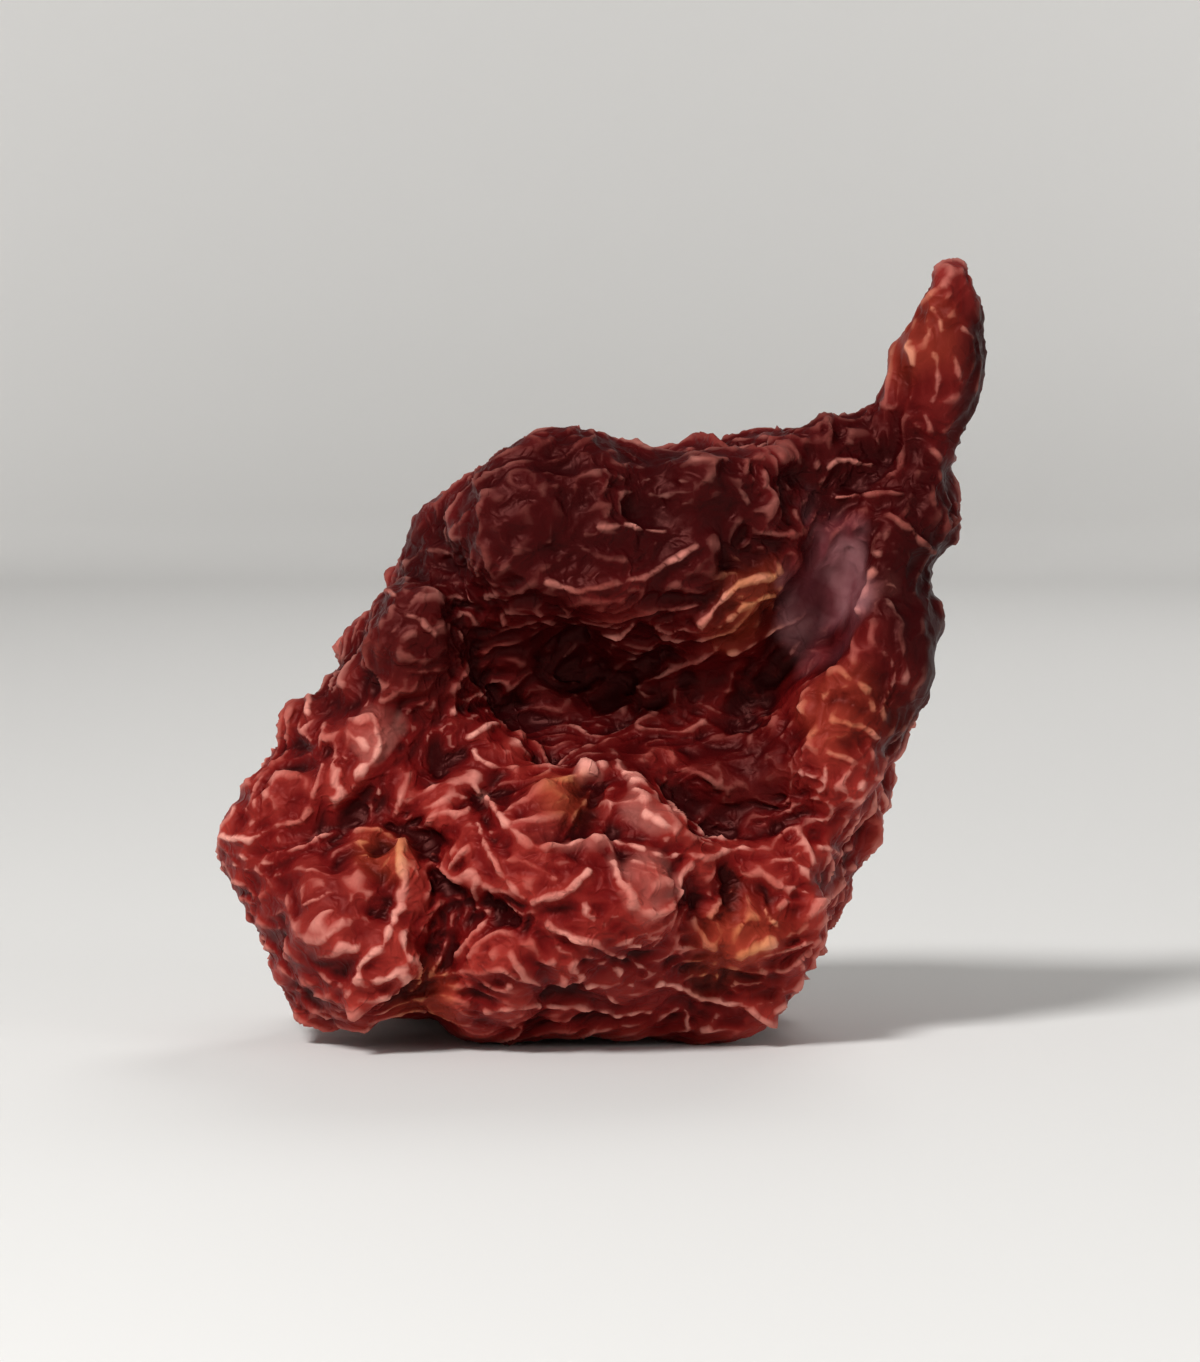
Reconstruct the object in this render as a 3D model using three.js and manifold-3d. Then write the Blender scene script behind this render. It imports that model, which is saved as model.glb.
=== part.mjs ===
// One dried carolina reaper pepper, in millimetres: +X right, +Y away from the viewer, +Z up.
// The shrunken pod is a single skin of lobes and folds round a deep hollow, with the variety's
// pointed tail at the top right. Its stalk end, at the back left, keeps a withered calyx and a
// short broken stalk. It rests on the flattened underside of its lowest fold, at z = 0.
import * as THREE from "three";
import { ImprovedNoise } from "three/addons/math/ImprovedNoise.js";
import { mergeVertices } from "three/addons/utils/BufferGeometryUtils.js";
import Module from "manifold-3d";

const wasm = await Module();
wasm.setup();

// Driving dimensions
const MESH_STEP = 0.74; // spacing of the grid that the pod's surface is drawn from
const LOBE_BLEND = 1.7; // how softly one lobe runs into the next
const HOLLOW_BLEND = 1.3;
const RIDGE_BLEND = 0.9;
const CREASE_BLEND = 0.8;
const FOLD_HEIGHT = 1.3; // long folds that run from the stalk end to the tail
const FOLDS_ROUND = 2.1; // noise turns round the pod, which sets how many long folds there are
const WRINKLE_HEIGHT = 1.15; // net of wrinkles that covers the skin
const WRINKLE_SIZE = 3.7; // width of one mesh of that net
const LUMP_HEIGHT = 0.8; // broad lumps between the folds
const LUMP_SIZE = 3.6;
const REST_CUT = 0.5; // depth that the pod's own weight has flattened off its lowest fold
const CALYX_RADIUS = 3.1;
const CALYX_THICKNESS = 0.65;
const CALYX_GAP = 0.32;
const STALK_RADIUS = 0.95;
const STALK_LENGTH = 4.0;

const point = (x, y, z) => new THREE.Vector3(x, y, z);

// The pod's lobes, each a chain of [x, y, z, radius]
const LOBES = [
  // the low fold, broad and rolled towards the viewer
  [[-7.8, -2.2, 4.9, 4.1], [-1.6, -3.6, 5.1, 4.5], [3.2, -2.8, 4.9, 3.8], [4.7, -1.5, 6.3, 2.8]],
  // the round lobe at its left end
  [[-9.9, -2.6, 6.0, 3.0], [-8.8, -4.2, 4.9, 3.4], [-8.8, -2.0, 3.8, 3.0]],
  // the right rim, from the low fold up to the foot of the tail
  [[4.7, -2.2, 6.6, 2.7], [7.4, -2.8, 11.0, 2.4], [9.4, -2.4, 14.8, 1.8], [10.6, -1.3, 18.4, 1.2]],
  // the tail, with its bulge and the pinch at its foot
  [[10.8, -1.0, 18.6, 1.0], [11.6, -1.2, 20.8, 0.8], [12.0, -1.3, 24.5, 1.45], [12.4, -1.2, 27.3, 0.65]],
  // the two halves of the brow over the hollow
  [[-3.8, -1.2, 16.4, 2.6], [-2.4, -2.6, 17.9, 2.5]],
  [[-0.6, -3.2, 18.5, 2.5], [2.8, -2.6, 18.4, 2.7], [4.6, -0.8, 17.4, 2.7]],
  // the web from the brow to the tail
  [[4.6, -0.4, 17.6, 2.9], [8.2, -0.4, 19.9, 1.9], [10.2, -0.6, 21.8, 1.1], [11.5, -0.9, 23.2, 0.8]],
  // the left rim, with its knob beside the hollow
  [[-9.2, -1.8, 9.0, 2.3], [-7.8, -1.4, 12.2, 2.7], [-6.1, -1.0, 14.2, 2.7], [-4.8, -0.8, 15.0, 2.5]],
  [[-6.6, -3.8, 14.8, 1.6], [-5.8, -2.8, 12.6, 2.2]],
  // the body behind the hollow
  [[-3.4, 1.6, 8.8, 5.2], [3.0, 1.4, 9.6, 5.2]],
  [[-1.6, 2.2, 13.8, 3.8], [4.4, 1.6, 15.2, 3.4]],
  // the ribs of the back, from the stalk end round to the tail's side
  [[-6.0, 3.4, 4.9, 3.9], [-1.0, 4.8, 4.0, 3.7], [3.0, 3.4, 4.4, 3.5], [6.0, 0.8, 8.8, 2.2]],
  [[-4.6, 4.6, 8.6, 3.3], [0.4, 6.0, 7.6, 2.9], [5.0, 4.4, 9.2, 3.0], [8.2, 1.2, 13.6, 2.0]],
  [[-4.8, 4.0, 11.6, 3.0], [-0.4, 5.4, 12.6, 2.8], [4.4, 3.8, 13.8, 2.7], [8.6, 0.8, 17.2, 1.8]],
  [[-5.0, 2.2, 13.6, 2.6], [-1.4, 2.8, 16.9, 3.0], [3.4, 1.8, 17.6, 2.8], [8.2, 0.4, 19.8, 1.4]],
];

// Dents pressed into the pod, each [x, y, z, half width, half depth, half height]
const HOLLOWS = [
  [-0.6, -8.0, 13.4, 4.9, 7.6, 2.7],
  [4.4, -7.4, 13.2, 3.6, 5.6, 1.9],
  [7.4, -7.2, 15.6, 2.7, 4.6, 3.4],
  [1.8, -6.6, 19.6, 1.5, 1.7, 1.2],
];

// Ridges and creases drawn on the front as [x, z, radius] and laid on the pod's skin
const FRONT_RIDGES = [
  // the curved crest that closes the round left lobe
  [[-7.4, 8.0, 0.6], [-6.5, 6.8, 0.9], [-6.5, 5.2, 0.9], [-7.2, 3.6, 0.8], [-8.6, 2.4, 0.6]],
  // the crests over the middle of the low fold
  [[-4.2, 8.4, 0.6], [-2.6, 7.9, 0.9], [-1.2, 9.2, 1.1], [0.4, 9.6, 1.1], [1.8, 8.3, 1.1], [2.8, 7.2, 0.7]],
  [[-6.2, 9.6, 0.6], [-4.4, 7.2, 0.8], [-2.4, 6.4, 0.8], [-0.6, 6.7, 0.9], [1.2, 5.7, 1.0], [2.2, 4.6, 0.6]],
  [[-4.8, 11.0, 0.7], [-3.4, 10.0, 0.8], [-2.2, 9.2, 0.5]],
  [[2.8, 7.0, 0.7], [4.6, 7.2, 0.8], [6.4, 6.8, 0.9], [8.0, 5.8, 0.7]],
  [[1.0, 3.2, 0.6], [3.4, 4.4, 0.9], [5.4, 4.6, 1.0], [7.0, 5.0, 0.7]],
  [[-6.0, 3.2, 0.6], [-3.0, 4.4, 0.8], [0.0, 3.8, 0.7], [1.6, 2.4, 0.6]],
  [[-1.0, 7.9, 0.7], [0.2, 7.7, 0.8], [1.2, 7.2, 0.7]],
  // the wrinkles on the hollow's back wall
  [[0.4, 15.6, 0.7], [1.2, 14.4, 1.0], [1.6, 13.0, 0.6]],
  [[3.0, 15.8, 0.6], [3.4, 14.6, 0.8], [3.0, 13.4, 0.5]],
  // the lip of the brow
  [[-3.0, 17.6, 0.5], [-1.6, 16.9, 0.7], [0.2, 16.6, 0.8], [2.0, 17.1, 0.8], [3.4, 17.9, 0.6]],
  // the crests beside the smooth dent at the upper right
  [[6.2, 17.6, 0.6], [4.8, 16.2, 0.8], [3.8, 14.6, 0.7]],
  [[10.4, 18.4, 0.5], [10.0, 16.2, 0.7], [9.4, 14.2, 0.7], [8.2, 12.6, 0.8], [7.8, 10.6, 0.7]],
];
const FRONT_CREASES = [
  // round the left lobe
  [[-10.4, 8.2, 0.4], [-8.8, 8.8, 0.6], [-6.2, 7.8, 0.5], [-5.2, 5.6, 0.7], [-5.8, 3.4, 0.7], [-7.4, 1.8, 0.5]],
  // between the brow and the left rim
  [[-5.6, 18.0, 0.4], [-4.8, 16.4, 0.6], [-4.0, 14.4, 0.7]],
  [[-8.4, 10.6, 0.4], [-7.0, 10.9, 0.7], [-5.4, 10.6, 0.7]],
  // between the brow's halves
  [[-1.6, 21.4, 0.5], [-0.8, 19.4, 0.6], [-1.4, 17.6, 0.5]],
  // into the low fold from the hollow
  [[2.6, 10.6, 0.6], [2.8, 9.2, 0.9], [3.8, 8.2, 0.6]],
];

// The same on the back, where the folds run from the stalk end round towards the tail
const BACK_RIDGES = [
  [[-4.4, 11.2, 0.5], [-1.0, 12.2, 0.8], [3.0, 13.2, 0.9], [7.0, 15.8, 0.6]],
  [[-4.2, 8.2, 0.5], [0.0, 7.4, 0.8], [4.0, 8.4, 0.9], [7.4, 11.6, 0.6]],
  [[-5.6, 13.4, 0.5], [-3.0, 16.4, 0.8], [1.4, 18.4, 0.9], [6.6, 19.2, 0.6]],
  [[-7.0, 6.6, 0.5], [-8.6, 4.6, 0.8], [-9.6, 2.6, 0.6]],
];
const BACK_CREASES = [
  [[-4.6, 12.8, 0.5], [-1.0, 14.8, 0.9], [3.0, 15.9, 0.9], [7.0, 17.6, 0.5]],
  [[-3.8, 9.8, 0.5], [0.0, 9.8, 0.9], [4.0, 11.0, 0.9], [7.6, 14.2, 0.5]],
  [[-4.6, 7.0, 0.5], [-1.5, 5.6, 0.9], [3.0, 5.8, 0.9], [6.6, 8.8, 0.5]],
  [[-6.6, 6.2, 0.5], [-5.6, 3.6, 0.8], [-3.6, 1.6, 0.6]],
  [[-7.6, 11.6, 0.5], [-7.0, 14.0, 0.8], [-5.0, 17.4, 0.7], [-2.0, 19.6, 0.5]],
];

// And on the top as [x, y, radius], along the fold between the brow and the back
const TOP_CREASES = [
  [[-4.6, 0.8, 0.5], [-1.6, 0.2, 0.9], [2.4, 0.6, 1.0], [6.0, 0.4, 0.8], [8.6, -0.2, 0.4]],
  [[-3.6, 3.4, 0.4], [-0.4, 2.8, 0.8], [3.6, 2.2, 0.6]],
  [[-2.6, -1.4, 0.4], [-0.2, -1.8, 0.7], [1.8, -1.4, 0.5]],
];

// The stalk end, which the long folds spread from, and the tail's foot, which they run to
const STALK_END = point(-6.2, 7.4, 9.8);
const STALK_OUT = point(-0.34, 0.91, 0.24).normalize();
const TAIL_FOOT = point(11.8, -0.9, 20.8);
const POD_AXIS = TAIL_FOOT.clone().sub(STALK_END);
const POD_LENGTH = POD_AXIS.length();
POD_AXIS.normalize();
const POD_MIDDLE = point(-0.4, -0.6, 9.4);
const MIDDLE_LINE = new THREE.QuadraticBezierCurve3(
  STALK_END,
  POD_MIDDLE.clone().multiplyScalar(2).sub(STALK_END.clone().add(TAIL_FOOT).multiplyScalar(0.5)),
  TAIL_FOOT,
);
const ROUND_A = point(0, 1, 0).cross(POD_AXIS).normalize();
const ROUND_B = POD_AXIS.clone().cross(ROUND_A);

const noise = new ImprovedNoise();
const noiseAt = (v) => noise.noise(v.x, v.y, v.z);

// Distance to a chain of round beads that taper evenly from one to the next
function chainDistance(p, chain) {
  let nearest = Infinity;
  for (let i = 1; i < chain.length; i++) {
    const [ax, ay, az, ar] = chain[i - 1];
    const [bx, by, bz, br] = chain[i];
    const dx = bx - ax;
    const dy = by - ay;
    const dz = bz - az;
    const along = ((p.x - ax) * dx + (p.y - ay) * dy + (p.z - az) * dz) / (dx * dx + dy * dy + dz * dz);
    const t = Math.min(1, Math.max(0, along));
    const away = Math.hypot(p.x - ax - t * dx, p.y - ay - t * dy, p.z - az - t * dz);
    nearest = Math.min(nearest, away - ar - t * (br - ar));
  }
  return nearest;
}

function softMin(a, b, blend) {
  const share = Math.max(blend - Math.abs(a - b), 0) / blend;
  return Math.min(a, b) - (share * share * blend) / 4;
}

const softMax = (a, b, blend) => -softMin(-a, -b, blend);

// How far a point is from a dent's middle, 1 on the dent's own surface
const dentReach = (p, [x, y, z, rx, ry, rz]) => Math.hypot((p.x - x) / rx, (p.y - y) / ry, (p.z - z) / rz);

// The plump form of the lobes and hollows, before any ridge or wrinkle: below 0 inside
function plumpField(p) {
  let d = Infinity;
  for (const chain of LOBES) {
    d = softMin(d, chainDistance(p, chain), LOBE_BLEND);
  }
  for (const dent of HOLLOWS) {
    d = softMax(d, (1 - dentReach(p, dent)) * Math.min(...dent.slice(3)), HOLLOW_BLEND);
  }
  return d;
}

// Walks from a start along a unit direction to where a field is first 0
function walkTo(field, start, direction, furthest) {
  const p = start.clone();
  let gone = 0;
  while (gone < furthest) {
    const here = field(p);
    if (here < 0.002) {
      break;
    }
    const stride = Math.max(0.5 * here, 0.002);
    p.addScaledVector(direction, stride);
    gone += stride;
  }
  return p;
}

// A line of crests along each zero of the noise, 1 on the crest and 0 between
const crest = (n, sharpness) => Math.exp(-((n * sharpness) ** 2));

// Height of the long folds, which run round the pod's bent middle line from the stalk end to
// the tail's foot, and close up towards both
function longFolds(p) {
  const along = THREE.MathUtils.clamp(p.clone().sub(STALK_END).dot(POD_AXIS) / POD_LENGTH, 0, 1);
  const away = p.clone().sub(MIDDLE_LINE.getPoint(along));
  const a = away.dot(ROUND_A);
  const b = away.dot(ROUND_B);
  const reach = Math.hypot(a, b);
  const round = FOLDS_ROUND / (reach + 0.6);
  const n = noise.noise(a * round + 7.3, b * round + 2.1, along * 1.2);
  return (crest(n, 3.6) - 0.45) * THREE.MathUtils.smoothstep(reach, 1.5, 4.5);
}

// Height of the net of wrinkles, drawn out along the pod and bent by a slow warp
function wrinkleNet(p) {
  const q = p.clone().addScaledVector(POD_AXIS, -0.45 * p.dot(POD_AXIS)).divideScalar(WRINKLE_SIZE);
  const slow = p.clone().multiplyScalar(0.13);
  q.x += 0.9 * noise.noise(slow.x + 11.5, slow.y, slow.z);
  q.y += 0.9 * noise.noise(slow.x, slow.y + 5.2, slow.z);
  q.z += 0.9 * noise.noise(slow.x, slow.y, slow.z + 3.7);
  const wide = crest(noiseAt(q), 3.6);
  q.multiplyScalar(1.55).addScalar(4.4);
  const narrow = crest(noiseAt(q), 3.2);
  return 0.6 * wide + 0.55 * narrow - 0.5;
}

// Height of everything that shrinking has raised on the skin at a point of the plump form
function shrunkHeight(p) {
  const inHollow = HOLLOWS.reduce((most, dent) => Math.max(most, 1.5 - dentReach(p, dent)), 0);
  const hollow = 1 - 0.7 * Math.min(1, inHollow * 2.5);
  const stalk = THREE.MathUtils.smoothstep(p.distanceTo(STALK_END), 2.5, 5.5);
  const tail = 1 - 0.7 * THREE.MathUtils.smoothstep(p.x + p.z, 28, 34);
  const lumps = LUMP_HEIGHT * noiseAt(p.clone().multiplyScalar(1 / LUMP_SIZE));
  return stalk * tail * hollow * (FOLD_HEIGHT * longFolds(p) + WRINKLE_HEIGHT * wrinkleNet(p) + lumps);
}

// The pod with its folds and wrinkles, before the ridges and creases laid on it. Their height is
// read where the point drops onto the plump form, so that it changes only along the skin.
function wrinkledField(p) {
  const d = plumpField(p);
  if (Math.abs(d) > 3.5) {
    return d;
  }
  const step = 0.05;
  const slope = point(
    plumpField(point(p.x + step, p.y, p.z)) - d,
    plumpField(point(p.x, p.y + step, p.z)) - d,
    plumpField(point(p.x, p.y, p.z + step)) - d,
  ).normalize();
  return d - shrunkHeight(slope.multiplyScalar(-d).add(p));
}

// Lays chains on the wrinkled skin from one side, and raises them by a share of their radius
const SIDES = {
  front: (x, z) => [point(x, -14, z), point(0, 1, 0)],
  back: (x, z) => [point(x, 14, z), point(0, -1, 0)],
  top: (x, y) => [point(x, y, 26), point(0, 0, -1)],
};
const laidOn = (side, chains, lift) =>
  chains.map((chain) =>
    chain.map(([across, up, radius]) => {
      const [start, inward] = SIDES[side](across, up);
      const p = walkTo(wrinkledField, start, inward, 28).addScaledVector(inward, -lift * radius);
      return [p.x, p.y, p.z, radius];
    }),
  );
const LAID_RIDGES = [...laidOn("front", FRONT_RIDGES, -0.1), ...laidOn("back", BACK_RIDGES, -0.1)];
const LAID_CREASES = [
  ...laidOn("front", FRONT_CREASES, 0.35),
  ...laidOn("back", BACK_CREASES, 0.35),
  ...laidOn("top", TOP_CREASES, 0.3),
];

// The whole pod: below 0 inside
function podField(p) {
  let d = wrinkledField(p);
  for (const chain of LAID_RIDGES) {
    d = softMin(d, chainDistance(p, chain), RIDGE_BLEND);
  }
  for (const chain of LAID_CREASES) {
    d = softMax(d, -chainDistance(p, chain), CREASE_BLEND);
  }
  return d;
}

// A grid cell's eight corners, and whether a set of them, one bit for each, hangs together by
// the cell's edges
const CELL_CORNERS = [...Array(8).keys()].map((c) => [c & 1, (c >> 1) & 1, (c >> 2) & 1]);
function hangsTogether(bits) {
  let reached = bits & -bits;
  for (let pass = 0; pass < 7; pass++) {
    for (let c = 0; c < 8; c++) {
      if (reached & (1 << c)) {
        reached |= bits & ((1 << (c ^ 1)) | (1 << (c ^ 2)) | (1 << (c ^ 4)));
      }
    }
  }
  return reached === bits;
}

// Two parts of the pod that meet at a cell's diagonal only would touch along a line. The least
// outside corner of each such cell is filled in, until no cell is pinched.
function closePinches(values, nx, ny, nz) {
  const sound = [...Array(256).keys()].map((bits) => hangsTogether(bits) && hangsTogether(255 - bits));
  const steps = CELL_CORNERS.map(([i, j, k]) => i + nx * (j + ny * k));
  let mended = true;
  while (mended) {
    mended = false;
    for (let k = 0; k < nz - 1; k++) {
      for (let j = 0; j < ny - 1; j++) {
        for (let i = 0; i < nx - 1; i++) {
          const here = i + nx * (j + ny * k);
          let bits = 0;
          let least = -1;
          for (let c = 0; c < 8; c++) {
            const spot = here + steps[c];
            if (values[spot] < 0) {
              bits |= 1 << c;
            } else if (least < 0 || values[spot] < values[least]) {
              least = spot;
            }
          }
          if (!sound[bits]) {
            values[least] = -0.02;
            mended = true;
          }
        }
      }
    }
  }
}

// The surface where a field is 0, as a closed mesh of evenly sized faces: one vertex for each
// grid cell that the surface crosses, and one square for each grid edge that it crosses.
function surfaceOf(field, low, high, step) {
  const counts = high.clone().sub(low).divideScalar(step).ceil();
  const [nx, ny, nz] = [counts.x + 1, counts.y + 1, counts.z + 1];
  const at = (i, j, k) => i + nx * (j + ny * k);
  const values = new Float64Array(nx * ny * nz);
  const p = new THREE.Vector3();
  for (let k = 0; k < nz; k++) {
    for (let j = 0; j < ny; j++) {
      for (let i = 0; i < nx; i++) {
        values[at(i, j, k)] = field(p.set(i, j, k).multiplyScalar(step).add(low));
      }
    }
  }
  const corners = CELL_CORNERS;
  closePinches(values, nx, ny, nz);
  const positions = [];
  const vertexOf = new Map();
  for (let k = 0; k < nz - 1; k++) {
    for (let j = 0; j < ny - 1; j++) {
      for (let i = 0; i < nx - 1; i++) {
        const crossings = [];
        for (let c = 0; c < 8; c++) {
          for (let axis = 0; axis < 3; axis++) {
            if (corners[c][axis]) {
              continue;
            }
            const a = corners[c];
            const b = corners[c | (1 << axis)];
            const va = values[at(i + a[0], j + a[1], k + a[2])];
            const vb = values[at(i + b[0], j + b[1], k + b[2])];
            if (va < 0 !== vb < 0) {
              const t = va / (va - vb);
              crossings.push(a.map((x, n) => x + t * (b[n] - x)));
            }
          }
        }
        if (crossings.length) {
          const middle = [0, 1, 2].map((n) => crossings.reduce((sum, c) => sum + c[n], 0) / crossings.length);
          p.set(i + middle[0], j + middle[1], k + middle[2]).multiplyScalar(step).add(low);
          vertexOf.set(at(i, j, k), positions.length / 3);
          positions.push(p.x, p.y, p.z);
        }
      }
    }
  }
  const index = [];
  const unit = [[1, 0, 0], [0, 1, 0], [0, 0, 1]];
  for (let k = 1; k < nz - 1; k++) {
    for (let j = 1; j < ny - 1; j++) {
      for (let i = 1; i < nx - 1; i++) {
        for (let axis = 0; axis < 3; axis++) {
          const e = unit[axis];
          const va = values[at(i, j, k)];
          const vb = values[at(i + e[0], j + e[1], k + e[2])];
          if (va < 0 === vb < 0) {
            continue;
          }
          const u = unit[(axis + 1) % 3];
          const v = unit[(axis + 2) % 3];
          const cell = (du, dv) =>
            vertexOf.get(at(i - du * u[0] - dv * v[0], j - du * u[1] - dv * v[1], k - du * u[2] - dv * v[2]));
          const ring = [cell(0, 0), cell(1, 0), cell(1, 1), cell(0, 1)];
          if (vb < 0) {
            ring.reverse();
          }
          index.push(ring[0], ring[1], ring[2], ring[0], ring[2], ring[3]);
        }
      }
    }
  }
  const geometry = new THREE.BufferGeometry();
  geometry.setAttribute("position", new THREE.BufferAttribute(new Float32Array(positions), 3));
  geometry.setIndex(index);
  return geometry;
}

const solidOf = (geometry) => {
  const bare = new THREE.BufferGeometry();
  bare.setAttribute("position", geometry.attributes.position);
  if (geometry.index) {
    bare.setIndex(geometry.index);
  }
  const merged = mergeVertices(bare, 1e-4);
  return new wasm.Manifold(
    new wasm.Mesh({
      numProp: 3,
      vertProperties: new Float32Array(merged.attributes.position.array),
      triVerts: new Uint32Array(merged.index.array),
    }),
  );
};

const geometryOf = (solid) => {
  const mesh = solid.getMesh();
  const geometry = new THREE.BufferGeometry();
  geometry.setAttribute("position", new THREE.BufferAttribute(mesh.vertProperties, 3));
  geometry.setIndex(new THREE.BufferAttribute(mesh.triVerts, 1));
  geometry.computeVertexNormals();
  return geometry;
};

// The largest of a solid's separate surfaces, which leaves out specks and sealed bubbles
const outermost = (solid) => solid.decompose().reduce((a, b) => (a.volume() > b.volume() ? a : b));

// The pod, with its underside pressed flat
function podGeometry() {
  const low = point(-17, -12, -2.5);
  const high = point(18, 14, 30);
  const skin = surfaceOf(podField, low, high, MESH_STEP);
  const floor = new THREE.BoxGeometry(60, 60, 10);
  floor.translate(0, 0, -5 + REST_CUT);
  const flattened = outermost(outermost(solidOf(skin)).subtract(solidOf(floor)));
  return geometryOf(flattened);
}

// The calyx and the broken stalk, grown as one. The calyx is a thin withered cap with five
// short teeth that lies just clear of the pod's skin, and the stalk bends up out of it.
function stemGeometry() {
  const sideways = point(0, 0, 1).cross(STALK_OUT).normalize();
  const upward = STALK_OUT.clone().cross(sideways);
  const skinAt = (x, y) => {
    const above = STALK_END.clone().addScaledVector(sideways, x).addScaledVector(upward, y);
    return walkTo(podField, above.addScaledVector(STALK_OUT, 5), STALK_OUT.clone().negate(), 12);
  };
  const rings = 5;
  const sectors = 40;
  const top = [];
  const under = [];
  for (let ring = 0; ring <= rings; ring++) {
    for (let sector = 0; sector < (ring ? sectors : 1); sector++) {
      const angle = (sector / sectors) * 2 * Math.PI;
      const tooth = 1 - Math.abs(Math.sin(2.5 * angle + 0.4)) ** 0.8;
      const edge = CALYX_RADIUS * (0.72 + 0.32 * tooth + 0.05 * Math.sin(3 * angle));
      const out = (ring / rings) * edge;
      const skin = skinAt(out * Math.cos(angle), out * Math.sin(angle));
      const rib = 0.16 * Math.cos(5 * angle + 0.8) * (ring / rings);
      const lift = CALYX_GAP + 0.25 * (ring / rings) ** 4 * (0.5 + 0.5 * Math.sin(7 * angle + 1));
      under.push(skin.clone().addScaledVector(STALK_OUT, lift));
      const thick = CALYX_THICKNESS * (1.25 - 0.35 * (ring / rings)) + rib * 0.5;
      top.push(skin.clone().addScaledVector(STALK_OUT, lift + thick));
    }
  }
  const spot = (ring, sector) => (ring ? 1 + (ring - 1) * sectors + (sector % sectors) : 0);
  const index = [];
  const low = top.length;
  for (let sector = 0; sector < sectors; sector++) {
    index.push(spot(0, 0), spot(1, sector), spot(1, sector + 1));
    index.push(low + spot(0, 0), low + spot(1, sector + 1), low + spot(1, sector));
    for (let ring = 1; ring < rings; ring++) {
      const quad = [spot(ring, sector), spot(ring + 1, sector), spot(ring + 1, sector + 1), spot(ring, sector + 1)];
      index.push(quad[0], quad[1], quad[2], quad[0], quad[2], quad[3]);
      index.push(low + quad[0], low + quad[2], low + quad[1], low + quad[0], low + quad[3], low + quad[2]);
    }
    const rim = [spot(rings, sector), spot(rings, sector + 1)];
    index.push(rim[0], low + rim[0], low + rim[1], rim[0], low + rim[1], rim[1]);
  }
  const cap = closedShape([...top, ...under], index);

  const foot = skinAt(0, 0).addScaledVector(STALK_OUT, CALYX_GAP + 0.25);
  const bend = new THREE.CatmullRomCurve3([
    foot,
    foot.clone().addScaledVector(STALK_OUT, 1.2),
    foot.clone().addScaledVector(STALK_OUT, 2.5).addScaledVector(upward, 0.35).addScaledVector(sideways, 0.1),
    foot.clone().addScaledVector(STALK_OUT, STALK_LENGTH).addScaledVector(upward, 1.3),
  ]);
  const steps = 12;
  const sides = 12;
  const frames = bend.computeFrenetFrames(steps, false);
  const skin = [];
  for (let step = 0; step <= steps; step++) {
    const t = step / steps;
    const centre = bend.getPointAt(t);
    const flare = 0.75 * (1 - t) ** 5 + 0.16 * t ** 6;
    for (let side = 0; side < sides; side++) {
      const angle = (side / sides) * 2 * Math.PI;
      const rib = 0.09 * Math.cos(4 * angle + 1.5 * t);
      const radius = STALK_RADIUS * (1 - 0.12 * t) + flare + rib;
      const ragged = step === steps ? 0.14 * Math.sin(3 * angle + 1) : 0;
      skin.push(
        centre.clone()
          .addScaledVector(frames.normals[step], radius * Math.cos(angle))
          .addScaledVector(frames.binormals[step], radius * Math.sin(angle))
          .addScaledVector(frames.tangents[step], ragged),
      );
    }
  }
  const tube = [];
  for (let step = 0; step < steps; step++) {
    for (let side = 0; side < sides; side++) {
      const a = step * sides + side;
      const b = step * sides + ((side + 1) % sides);
      tube.push(a, b, b + sides, a, b + sides, a + sides);
    }
  }
  const footCentre = skin.push(bend.getPointAt(0)) - 1;
  const brokenEnd = bend.getPointAt(1).addScaledVector(frames.tangents[steps], -0.25);
  const endCentre = skin.push(brokenEnd) - 1;
  for (let side = 0; side < sides; side++) {
    const next = (side + 1) % sides;
    tube.push(footCentre, next, side, endCentre, steps * sides + side, steps * sides + next);
  }
  const stalk = closedShape(skin, tube);
  return geometryOf(solidOf(cap).add(solidOf(stalk)));
}

// A geometry from a list of points and the corners of its triangles
function closedShape(points, index) {
  const geometry = new THREE.BufferGeometry().setFromPoints(points);
  geometry.setIndex(index);
  return geometry;
}

const podSkin = new THREE.MeshStandardMaterial({ color: 0x6e1c14, roughness: 0.5, metalness: 0 });
const driedStem = new THREE.MeshStandardMaterial({ color: 0x8a7440, roughness: 0.75, metalness: 0 });

const pepper = new THREE.Group();
pepper.name = "dried_reaper_pepper";
const pod = new THREE.Mesh(podGeometry(), podSkin);
pod.name = "pod";
pepper.add(pod);
const stem = new THREE.Mesh(stemGeometry(), driedStem);
stem.name = "stem";
pepper.add(stem);
// The origin is under the middle of the whole pepper, on the surface that it rests on
const whole = new THREE.Box3().setFromObject(pepper, true);
const middle = whole.getCenter(new THREE.Vector3());
pepper.children.forEach((piece) => {
  piece.position.set(-middle.x, -middle.y, -whole.min.z);
});

export default pepper;
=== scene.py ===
# %% [markdown]
# # A dried reaper pepper
#
# This file dresses one sun-dried hot pepper. The imported model already has the pod's lobes, its
# deep hollow, its large folds and its pointed tail. What is left for Blender is what drying does to
# a skin: it crumples into hundreds of thin crests. The dark maroon between them is a painted shade.
#
# Everything is in metres. The pepper rests on z = 0, its hollow looks towards -Y, and the tail
# stands at the right, at +X.

# %% Load the imported pepper
import math

import bpy
import numpy as np
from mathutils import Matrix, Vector, noise


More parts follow.
